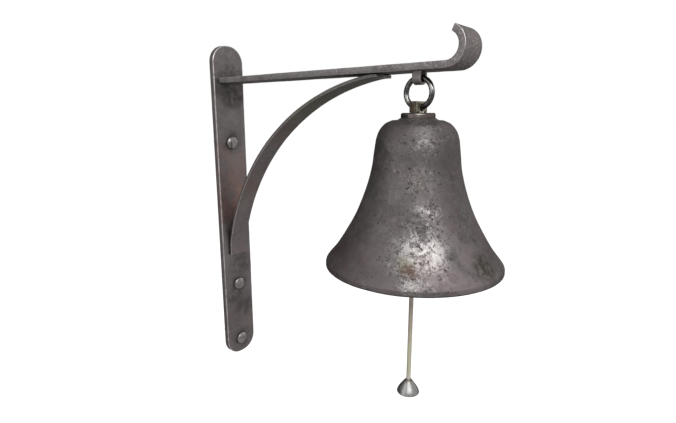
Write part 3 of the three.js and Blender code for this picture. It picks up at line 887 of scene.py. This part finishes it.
def tip_rivet():
    """A rivet flush with the brace's underside, and domed over on top of the arm."""
    low, high = (corner.z for corner in corners("brace_tip_rivet"))
    seat = ARM_TOP + GAP
    profile = [
        (0, low), (RIVET_HEAD * 0.7, low + 0.03), (RIVET_HEAD - 0.05, low + 0.12),
        (RIVET_RADIUS, low + RIVET_SINK), (RIVET_RADIUS, seat), (RIVET_HEAD - 0.1, seat),
    ]
    profile += domed(RIVET_HEAD, seat, high - seat, 12, 13)
    return lathe("tip_rivet_hammered", profile, 32, to_z(TIP_RIVET_X))


def hanger_staple():
    """A strap bent into a U, with its legs spread over on top of the arm."""
    seat = ARM_TOP + GAP
    centre_z = STAPLE_LOW.z + STAPLE_INNER + STAPLE_THICK
    mean = STAPLE_INNER + STAPLE_THICK / 2
    section = bar_section(STAPLE_LENGTH / 2, STAPLE_THICK / 2, 0.32, 1.1)
    heights = spaced(seat + 0.4, centre_z, 1.2)
    stations = [(Vector((-mean, z)), Vector((1, 0)), section) for z in heights]
    for angle in spaced(180, 360, 9)[1:]:
        stations.append((*on_bend(Vector((0, centre_z)), mean, angle), section))
    stations += [(Vector((mean, z)), Vector((-1, 0)), section) for z in heights[-2::-1]]
    piece = swept("staple_forged", stations, in_front_view)
    worked(piece, [(5, 0.05), (1.8, 0.03)], lambda p: 1.0 if p.z < ARM_UNDERSIDE - 0.5 else 0.0, 4.0)
    return join(piece, spread_head(-1, seat), spread_head(1, seat))


def spread_head(side, seat):
    """The hammered-over end of one staple leg: a low cushion with rounded corners."""
    half_x = STAPLE_HIGH.x - AXIS_X
    half_y = (STAPLE_HIGH.y - STAPLE_INNER) / 2
    middle = side * (STAPLE_INNER + STAPLE_HIGH.y) / 2
    height = STAPLE_HIGH.z - seat
    loops = []
    for inset, share in ((0.0, 0.0), (0.0, 0.45), (0.12, 0.75), (0.4, 0.95), (0.9, 1.0)):
        u, v = half_x - inset, half_y - inset
        outline = rounded([(u, v, 0.7), (-u, v, 0.7), (-u, -v, 0.7), (u, -v, 0.7)], 4, True)
        loops.append([(AXIS_X + a, middle + b, seat + height * share) for a, b in outline])
    return stacked("spread", loops)


def ring():
    """A closed ring of round wire."""
    wire = (RING_HIGH.y - RING_LOW.y) / 2
    radius = (RING_HIGH.x - RING_LOW.x) / 2 - wire
    place = to_y(AXIS_X, middle_height("ring"))
    piece = lathe("ring_drawn", arc(radius, 0, wire, 0, 360, 36), 120, place)
    return worked(piece, [(6, 0.04), (2, 0.02)], None, 5.0)


# -------- the bell

LUG_THICK = 6.0
LUG_WIDTH = 15.0
LUG_CORNER = 2.0
LUG_BASE = COLLAR_HIGH.z + 0.02
RING_HOLE = 2.6
STEM_RADIUS = 4.0
STEM_PITCH = 1.25
STEM_THREAD = 0.42
STEM_SLOT = 3.0
STEM_SLOT_TOP = 74.5
STEM_BORE = STEM_RADIUS + GAP
PIN_HOLE = 1.8
PIN_RADIUS = 1.5
BELL_WALL = 3.6
# Heights above the mouth, as (radius, height): the outside from above the lip, then the shoulder.
CROWN_INSIDE = 101.0
BELL_FLARE = [
    (63, 6.5), (57, 14), (50.7, 24), (44.1, 36), (38.9, 48), (34.8, 60), (31.9, 72), (30.3, 84), (29.2, 92),
]
BELL_SHOULDER = [(29.2, 92), (27.1, 98), (23.1, 103), (18, 105.5)]


def lug_outline(inset):
    """The lug's front outline moved in: (y, z) points."""
    half = LUG_WIDTH / 2 - inset
    top, base = EYEBOLT_HIGH.z - inset, LUG_BASE + inset
    corner = LUG_CORNER - inset * 0.5
    marks = [(half, base, 0.2), (half, top, corner), (-half, top, corner), (-half, base, 0.2)]
    line = []
    for (u, v, radius), (u2, v2, _) in zip(marks, marks[1:] + marks[:1]):
        line.append((u, v, radius))
        line += [(u + (u2 - u) * share, v + (v2 - v) * share, 0) for share in (0.25, 0.5, 0.75)]
    return rounded(line, 5, True)


def crown_eyebolt():
    """The lug that hangs on the ring, with its threaded stem and the clapper's fork."""
    half = LUG_THICK / 2
    section = [(1.6, -half), (0.8, -half), (0.22, 0.22 - half), (0.0, 0.8 - half), (0.0, 0.0)]
    section += [(inset, -x) for inset, x in reversed(section[:-1])]
    piece = stacked("lug_and_stem", [
        [(AXIS_X + x, y, z) for y, z in lug_outline(inset)] for inset, x in section
    ])
    bar = threaded("stem", EYEBOLT_LOW.z, LUG_BASE - 4, STEM_RADIUS, STEM_PITCH, STEM_THREAD, to_z())
    join(piece, drum("neck", STEM_RADIUS, LUG_BASE - 5, LUG_BASE + 1, to_z(), 28), bar)
    hole_z = RING_LOW.z + (RING_HIGH.y - RING_LOW.y) / 2
    front, back = AXIS_X + half, AXIS_X - half
    eye = [
        (0, back - 1), (RING_HOLE + 1.2, back - 1), (RING_HOLE, back + 0.2),
        (RING_HOLE, front - 0.2), (RING_HOLE + 1.2, front + 1), (0, front + 1),
    ]
    low = (AXIS_X - 9, -STEM_SLOT / 2, EYEBOLT_LOW.z - 1)
    return cut(
        piece,
        lathe("eye", eye, 40, to_x(hole_z)),
        block("slot", low, (AXIS_X + 9, STEM_SLOT / 2, STEM_SLOT_TOP)),
        drum("pin", PIN_HOLE, -9, 9, to_y(AXIS_X, PIN_Z)),
    )


def washer_like(name, bore, radius, low, high, roundings, steps, sides):
    """A flat ring on the bell's axis. roundings go round its section from the bore's lower edge."""
    places = ((bore, low), (radius, low), (radius, high), (bore, high))
    profile = rounded([(r, z, size) for (r, z), size in zip(places, roundings)], steps, True)
    return lathe(name, profile + profile[:1], sides, to_z())


def crown_collar():
    """The round-edged disc between the lug and the bell."""
    radius, low = COLLAR_HIGH.x - AXIS_X, BELL_HIGH.z + 0.01
    roundings = (0.1, 0.2, 1.6, 0.25)
    piece = washer_like("collar_turned", STEM_BORE, radius, low, COLLAR_HIGH.z, roundings, 8, 96)
    return worked(piece, [(6, 0.06), (2, 0.02)], None, 6.0)


def inner_washer():
    """The pressed washer under the crown."""
    low, high = corners("inner_washer")
    radius, roundings = high.x - AXIS_X, (0.1, 0.3, 0.3, 0.1)
    return washer_like("washer_pressed", STEM_BORE, radius, low.z, high.z, roundings, 3, 64)


def bell():
    """The casting: lip, flare, shoulder, boss, and the hollow inside."""
    flare = through(BELL_FLARE, 6)
    shoulder = through(BELL_SHOULDER, 5)
    lip = rounded([(60, 0, 0), (65, 0, 1.0), (64.8, 4, 3), (63, 6.5, 0)], 6)
    boss = rounded([
        (18, 105.5, 0), (14.3, 105.75, 1.6), (12.2, 107, 0.5), (STEM_BORE, 107, 0.3),
        (STEM_BORE, CROWN_INSIDE, 0),
    ], 5)
    crown = rounded([(STEM_BORE, CROWN_INSIDE, 0), (14, CROWN_INSIDE, 4), (24.2, 95.4, 4), (25.6, 92, 0)], 4)
    inside = [(r - BELL_WALL, h) for r, h in reversed(flare)]
    mouth = [(59.5, 3.2), (59.8, 1.0), (60, 0)]
    profile = lip[:-1] + flare + shoulder[1:-1] + boss[:-1] + crown[:-1] + inside + mouth
    piece = lathe("bell_cast", [(r, BELL_LOW.z + h) for r, h in profile], 200, to_z())

    def off_the_boss(p):
        """Nothing where the collar sits, and all of it elsewhere."""
        return 1.0 if hypot(p.x - AXIS_X, p.y) > 13 else 0.0

    return worked(piece, [(30, 0.16), (11, 0.1), (4, 0.05)], off_the_boss, 7.0)


def hex_nut(node, name, bore):
    """A six-sided nut with turned-off corners on both faces."""
    low, high = corners(node)
    size = (high - low) / 2
    corner, flat = max(size.x, size.y), min(size.x, size.y)
    start = 0.0 if size.x > size.y else 30.0
    hexagon = arc(AXIS_X, 0, corner, start, start + 300, 5)
    nut = stacked(name, [[(x, y, z) for x, y in hexagon] for z in (low.z, high.z)])
    face = flat * 0.96
    drop = (corner - face) * 0.55
    turned_off = [(0, low.z), (face, low.z), (corner, low.z + drop), (corner, high.z - drop),
                  (face, high.z), (0, high.z)]
    combine(nut, lathe("corners", turned_off, 72, to_z()), "INTERSECT")
    mouth = min(0.5, (high.z - low.z) / 8)
    wide = bore + mouth + 1
    hole = [(0, low.z - 1), (wide, low.z - 1), (bore, low.z + mouth), (bore, high.z - mouth),
            (wide, high.z + 1), (0, high.z + 1)]
    return cut(nut, lathe("bore", hole, 40, to_z()))


def clapper_pin():
    """The pin across the stem's fork, with a low head at each end."""
    head, end = (PIN_HIGH.z - PIN_LOW.z) / 2, PIN_HIGH.y
    half = [(PIN_RADIUS, 0), (PIN_RADIUS, STEM_BORE), (head - 0.1, STEM_BORE), (head, STEM_BORE + 0.15),
            (head * 0.86, end - 0.3), (head * 0.5, end - 0.06), (0, end)]
    profile = [(r, -y) for r, y in reversed(half)] + half[1:]
    return lathe("pin_headed", profile, 40, to_y(AXIS_X, PIN_Z))


# -------- the clapper and its pull

ROD_RADIUS = 1.7
ROD_NECK = 62.5
ROD_NECK_WIDTH = 4.4
ROD_EYE = 3.5
ROD_FLAT = 2.4
ROD_BORE = ROD_RADIUS + GAP


def pull_rod():
    """Straight round rod with a flattened eye at its top."""
    low, flat = ROD_LOW.z, ROD_FLAT / 2
    profile = [(0, low), (ROD_RADIUS - 0.25, low), (ROD_RADIUS, low + 0.25)]
    profile += [(ROD_RADIUS, z) for z in spaced(low + 0.25, ROD_NECK, 4)[1:]]
    profile += [(ROD_RADIUS * 0.9, ROD_NECK + 1.2), (0, ROD_NECK + 1.4)]
    rod = lathe("rod_drawn", profile, 36, to_z())
    half = [(ROD_EYE, flat - 0.3), (ROD_EYE - 0.3, flat), (0, flat)]
    disc = lathe("disc", [(r, -y) for r, y in reversed(half)] + half, 40, to_y(AXIS_X, PIN_Z))
    wide, thick = ROD_NECK_WIDTH / 2, flat - 0.02
    neck = block("neck", (AXIS_X - wide, -thick, ROD_NECK), (AXIS_X + wide, thick, PIN_Z))
    join(rod, neck, disc)
    return cut(rod, drum("eye_hole", PIN_HOLE, -3, 3, to_y(AXIS_X, PIN_Z)))


def clapper_ball():
    """A cast ball with a faint seam round its middle and a bore for the rod."""
    seam = 0.1
    radius = (BALL_HIGH.x - BALL_LOW.x) / 2 - seam
    centre = middle_height("clapper_ball")
    start = degrees(asin(ROD_BORE / radius))
    profile = []
    for angle in spaced(-90 + start, 90 - start, 4):
        reach = radius + seam * exp(-(angle / 2.5) ** 2)
        profile.append((reach * cos(radians(angle)), centre + reach * sin(radians(angle))))
    piece = lathe("ball_cast", profile + profile[:1], 80, to_z())
    return worked(piece, [(8, 0.06), (3, 0.03)], None, 8.0)


def pull_knob():
    """A polished domed cone, widest at the sharp rim of its base."""
    low, high = KNOB_LOW.z, KNOB_HIGH.z
    radius = (KNOB_HIGH.x - KNOB_LOW.x) / 2
    cone = through([
        (radius, low + 0.35), (radius - 0.2, low + 1.0), (radius - 0.85, low + 2.6),
        (radius - 1.9, low + 4.4), (5.5, low + 6.4), (4.0, low + 8.6), (2.5, low + 10.4),
    ], 6)
    tip = rounded([
        (2.4, high - 0.3, 0), (2.3, high, 0.15), (ROD_BORE, high, 0.1), (ROD_BORE, high - 5, 0),
        (0, high - 5, 0),
    ], 4)
    profile = [(0, low), (radius - 0.5, low), (radius - 0.12, low + 0.1)] + cone + tip
    return lathe("knob_polished", profile, 96, to_z())


# -------- where each finish is marked

FACE = PLATE_HIGH.x
FOOT = BRACE_LOW.z


def plate_iron():
    """Sooty marks round the screws and the brace's foot, a painted shadow under the arm, and rusty and grey
    blooms between them.
    """
    soot_and_shadow = [((FACE, 0, middle_height(node)), 6, 15) for node in SCREWS]
    # The spot just under the arm is a painted shadow.
    soot_and_shadow += [((FACE, 4, FOOT - 12), 5, 20), ((FACE, 2, ARM_UNDERSIDE - 3), 16, 24)]
    soot_and_shadow += [((FACE, -6, FOOT - 46), 5, 17), ((FACE, 6, FOOT - 60), 4, 18), ((FACE, 6, FOOT + 22), 4, 20)]
    rust_and_shadow = [
        ((FACE, -4, 45), 8, 34, (0.315, 0.226, 0.204), 0.75),
        ((FACE, 4, 8), 10, 36, (0.365, 0.23, 0.2), 0.85),
        # A dark bloom under the arm: painted shadow.
        ((FACE, 3, ARM_UNDERSIDE - 8), 5, 20, (0.092, 0.085, 0.084), 0.75),
        ((FACE, 0, FOOT - 75), 6, 34, (0.215, 0.165, 0.168), 0.75),
        ((FACE, 4, 152), 8, 26, (0.19, 0.182, 0.178), 0.7),
        ((FACE, 0, 92), 8, 30, (0.19, 0.182, 0.176), 0.6),
        ((FACE, 0, ARM_TOP + 10), 4, 22, (0.245, 0.2, 0.205), 0.6),
    ]
    tones, tint = (0.2, 0.265), (0.24, 0.196, 0.202)
    return forged_iron("forged_iron_plate", 10, tones, tint, "X", rust_and_shadow, soot_and_shadow, (0.57, 0.45))


def arm_iron():
    """Paler along the arm's near edge, mauve inside the scroll, and darkened underneath as painted shade."""
    pale = (0.37, 0.358, 0.352)
    blooms = [
        ((254, 0, 139), 3, 14, (0.3, 0.25, 0.252), 0.6),
        ((20, -12, ARM_TOP - 2), 26, 70, (0.42, 0.405, 0.4), 0.75),
        ((110, -12, ARM_TOP - 2), 24, 60, pale, 0.65),
        ((180, -12, ARM_TOP - 2), 24, 60, pale, 0.65),
    ]
    tones, tint = (0.2, 0.28), (0.24, 0.212, 0.22)
    # under darkens the arm's underside as painted shade.
    return forged_iron("forged_iron_arm", 20, tones, tint, "Y", blooms, (), (0.505, 0.9), under=0.4)


def brace_iron():
    """Mauve at the brace's foot, rusty along its sweep and olive near its tip."""
    blooms = [
        ((12, 0, -30), 20, 60, (0.25, 0.196, 0.206), 0.8),
        ((30, 0, 30), 6, 34, (0.25, 0.18, 0.162), 0.75),
        ((72, 0, 88), 6, 24, (0.25, 0.182, 0.148), 0.75),
        ((112, 0, 112), 16, 44, (0.215, 0.218, 0.165), 0.8),
        ((165, 0, 124), 10, 40, (0.225, 0.225, 0.19), 0.7),
    ]
    tones, tint = (0.205, 0.28), (0.24, 0.2, 0.204)
    rivet = (PLATE_HIGH.x + GAP + BRACE_THICK, 0, FOOT_RIVET_Z)
    return forged_iron("forged_iron_brace", 30, tones, tint, "Y", blooms, (), (0.57, 0.4), flush=[rivet])


def small_iron():
    """Olive, with painted light inside the staple: a pale spot that lifts the shade on its inner leg."""
    # Painted light: a pale spot on the staple's shaded inner leg.
    blooms = [((AXIS_X, 3, ARM_UNDERSIDE - 4), 2.5, 5.5, (0.66, 0.66, 0.5), 0.9)]
    tones, tint = (0.29, 0.39), (0.3, 0.3, 0.235)
    # Less painted corner shade than the other forged pieces.
    return forged_iron("forged_iron_small", 40, tones, tint, "X", blooms, grime_and_shade=0.2)


def bell_iron():
    """Worn bright down one side, with a painted highlight there, darker and lighter clouds round it and
    stains at the lip.
    """
    # Painted highlights: spots on the lit front of the bell and its boss, worn and painted bright.
    rub_and_highlight_spots = [
        ((251, -37, 11), 5, 19, 1.0), ((246, -41, 10), 4, 40, 0.8), ((244, -29, 34), 0, 20, 0.75),
        ((236, -20, 81), 2, 28, 0.58), ((246, -50, -8), 0, 20, 0.78), ((233, -26, 58), 0, 32, 0.5),
        ((225, -12, 93), 3, 12, 1.0),
    ]
    sooty = (0.085, 0.08, 0.078)
    clouds = [
        ((239, -36, 27), 3, 13, sooty, 0.6),
        ((237, -20, 80), 8, 26, (0.12, 0.112, 0.11), 0.6),
        ((241, -20, 62), 8, 32, (0.13, 0.121, 0.119), 0.55),
        ((233, -42, 21), 2, 11, sooty, 0.55),
        ((244, -33, 25), 1, 8, sooty, 0.55),
        ((225, -50, 11), 6, 24, (0.285, 0.26, 0.262), 0.6),
        ((205, -60, 0), 8, 30, (0.185, 0.132, 0.138), 0.7),
        ((222, -62, 2), 10, 30, (0.24, 0.205, 0.205), 0.6),
        ((270, -30, 2), 12, 40, (0.31, 0.262, 0.268), 0.75),
        ((172, -44, -2), 8, 34, (0.15, 0.112, 0.114), 0.7),
    ]
    stains = [
        ((241, -49, 5), 2, 8, (0.25, 0.235, 0.165), 0.7),
        ((244, -50, 1), 3, 8, (0.12, 0.08, 0.068), 0.95),
        ((275, -8, 0), 5, 14, (0.075, 0.068, 0.05), 0.85),
        ((266, -38, -5), 3, 12, (0.185, 0.14, 0.145), 0.6),
    ]
    return cast_iron("cast_iron_bell", 50, rub_and_highlight_spots, clouds, stains, 0.34, BELL_LOW.z + 0.9)


# -------- assembly

def build_object():
    """Makes every piece, gives it its finish and seats it on its CAD body."""
    plate, bar, strap, small, casting = plate_iron(), arm_iron(), brace_iron(), small_iron(), bell_iron()
    # A painted highlight on the front of the collar's top edge.
    collar_edge_highlight = ((AXIS_X + 8.5, -14.5, COLLAR_HIGH.z), 2, 7)
    collar = fastener_steel("collar_iron", 60, 1.15, 0.18, (0.7, 0.9), 0.06, [collar_edge_highlight])
    ball = cast_iron("cast_iron_ball", 70, wear=1.0)
    # The ring's two spots, on its upper right and lower left arcs, are painted highlights.
    wire = dark_steel("dark_steel_wire", 80, [((227, -1, 114), 1.5, 5.5), ((207.5, -1, 107.5), 0.5, 5)])
    bronze = bronze_brown_iron("bronze_brown_lug", 90)
    screws = fastener_steel("screw_steel", 100, 1.65, 0.22)
    nuts = fastener_steel("nut_steel", 110)
    brass = pale_brass("pale_brass_rod", 120)
    polished = polished_steel("polished_knob_steel", 130)

    pieces = [(back_plate(), "back_plate", "bracket", "forged_iron", plate)]
    pieces += [(wall_screw(node), node, "bracket", "fastener_steel", screws) for node in SCREWS]
    pieces += [
        (arm(), "arm", "bracket", "forged_iron", bar),
        (brace(), "brace", "bracket", "forged_iron", strap),
        (foot_rivet(), "brace_foot_rivet", "bracket", "forged_iron", strap),
        (tip_rivet(), "brace_tip_rivet", "bracket", "forged_iron", small),
        (hanger_staple(), "hanger_staple", "bracket", "forged_iron", small),
        (ring(), "ring", "ring", "dark_steel", wire),
        (crown_eyebolt(), "crown_eyebolt", "bell", "bronze_brown_iron", bronze),
        (crown_collar(), "crown_collar", "bell", "cast_iron", collar),
        (bell(), "bell", "bell", "cast_iron", casting),
        (inner_washer(), "inner_washer", "bell", "fastener_steel", nuts),
    ]
    for node in ("crown_nut", "jam_nut"):
        pieces.append((hex_nut(node, node + "_hex", STEM_BORE), node, "bell", "fastener_steel", nuts))
    pieces += [
        (clapper_pin(), "clapper_pin", "bell", "fastener_steel", nuts),
        (pull_rod(), "pull_rod", "clapper", "pale_brass", brass),
        (clapper_ball(), "clapper_ball", "clapper", "cast_iron", ball),
    ]
    for node in ("ball_nut_upper", "ball_nut_lower"):
        pieces.append((hex_nut(node, node + "_hex", ROD_BORE), node, "clapper", "fastener_steel", nuts))
    pieces.append((pull_knob(), "pull_knob", "clapper", "polished_steel", polished))
    for piece in pieces:
        finished(*piece)


# -------- studio and camera

FLOOR_HALF = 30000.0
FLOOR_DROP = 300
# The camera's place and the point that the lights face are in metres, and angles in degrees.
CAMERA_PLACE = (0.3816, -0.2835, 0.098)
CAMERA_TILT = 12.36
CAMERA_TURN = 39.94
CAMERA_LENS = 24.16
LIGHTS_AIM = Vector((AXIS_X * MM * 0.7, 0, 0.02))


def studio_floor():
    """A plain pale floor, well below the object, since a wall holds it up."""
    material = bpy.data.materials.new("pale_floor")
    material.use_nodes = True
    n = Nodes(material.node_tree)
    paint = {"Base Color": (0.93, 0.93, 0.92, 1), "Roughness": 0.9}
    glow = {"Emission Color": (1, 1, 1, 1), "Emission Strength": 0.62}
    shader = n.add("BsdfPrincipled", paint | glow)
    n.add("OutputMaterial", {"Surface": shader.outputs["BSDF"]})
    material.cycles.emission_sampling = "NONE"
    z = PLATE_LOW.z - FLOOR_DROP
    square = ((-1, -1), (1, -1), (1, 1), (-1, 1))
    points = [(FLOOR_HALF * u, FLOOR_HALF * v, z) for u, v in square]
    floor = mesh_piece("studio_floor", points, [[0, 1, 2, 3]])
    floor.data.materials.append(material)
    floor.visible_glossy = False
    floor.visible_diffuse = False


def studio_world():
    """White behind the object, and a softly graded room for its light and reflections.

    The room is dimmer on the wall's side, most of all near the horizon."""
    world = bpy.data.worlds.new("studio")
    bpy.context.scene.world = world
    world.use_nodes = True
    n = Nodes(world.node_tree)
    direction = n.add("TexCoord").outputs["Generated"]
    out, up = n.part(direction, "X"), n.part(direction, "Z")
    height = n.add("ValToRGB", {"Fac": n.band(up, -1.0, 1.0)})
    stops = [(0.0, 0.4), (0.3, 0.44), (0.46, 0.42), (0.54, 0.46), (0.66, 0.5), (1.0, 0.54)]
    ramp = height.color_ramp
    ramp.elements[0].position, ramp.elements[1].position = stops[0][0], stops[-1][0]
    for position, _ in stops[1:-1]:
        ramp.elements.new(position)
    for element, (_, level) in zip(ramp.elements, stops):
        element.color = (level, level, level * 0.99, 1)
    low = n.band(n.reckon("ABSOLUTE", up), 0.34, 0.06)
    shade = n.times(low, n.band(out, 0.15, -0.35))
    strength = n.less(1.0, n.times(shade, 0.82))
    strength = n.times(strength, n.band(out, -0.8, 0.5, 0.62, 1.12))
    room = n.add("Background", {"Color": height.outputs["Color"], "Strength": strength})
    white = n.add("Background", {"Color": (1, 1, 1, 1)})
    seen = n.add("LightPath").outputs["Is Camera Ray"]
    both = n.add("MixShader", {"Fac": seen, 1: room.outputs["Background"], 2: white.outputs["Background"]})
    n.add("OutputWorld", {"Surface": both.outputs["Shader"]})


def soft_light(name, azimuth, elevation, distance, width, height, power):
    """A large soft box at that bearing round the object, degrees and metres."""
    data = bpy.data.lights.new(name, "AREA")
    data.shape = "RECTANGLE"
    data.size, data.size_y = width, height
    data.energy = power
    light = bpy.data.objects.new(name, data)
    bpy.context.scene.collection.objects.link(light)
    a, e = radians(azimuth), radians(elevation)
    back = Vector((cos(a) * cos(e), sin(a) * cos(e), sin(e)))
    light.location = LIGHTS_AIM + back * distance
    light.rotation_euler = back.to_track_quat("Z", "Y").to_euler()
    light.visible_camera = False


def camera():
    """The viewing angle: from the front and right of the bell, a little above its middle."""
    data = bpy.data.cameras.new("camera")
    data.sensor_width = 36
    data.lens = CAMERA_LENS
    view = bpy.data.objects.new("camera", data)
    view.location = CAMERA_PLACE
    view.rotation_euler = (radians(90 - CAMERA_TILT), 0, radians(CAMERA_TURN))
    bpy.context.scene.collection.objects.link(view)
    bpy.context.scene.camera = view


build_object()
studio_floor()
studio_world()
soft_light("key", -38, 42, 1.3, 1.1, 1.0, 8)
soft_light("side", -108, 12, 1.6, 1.1, 1.2, 3.6)
soft_light("back", 75, 20, 1.6, 1.2, 1.2, 2)
camera()
bpy.context.scene.view_settings.view_transform = "Standard"
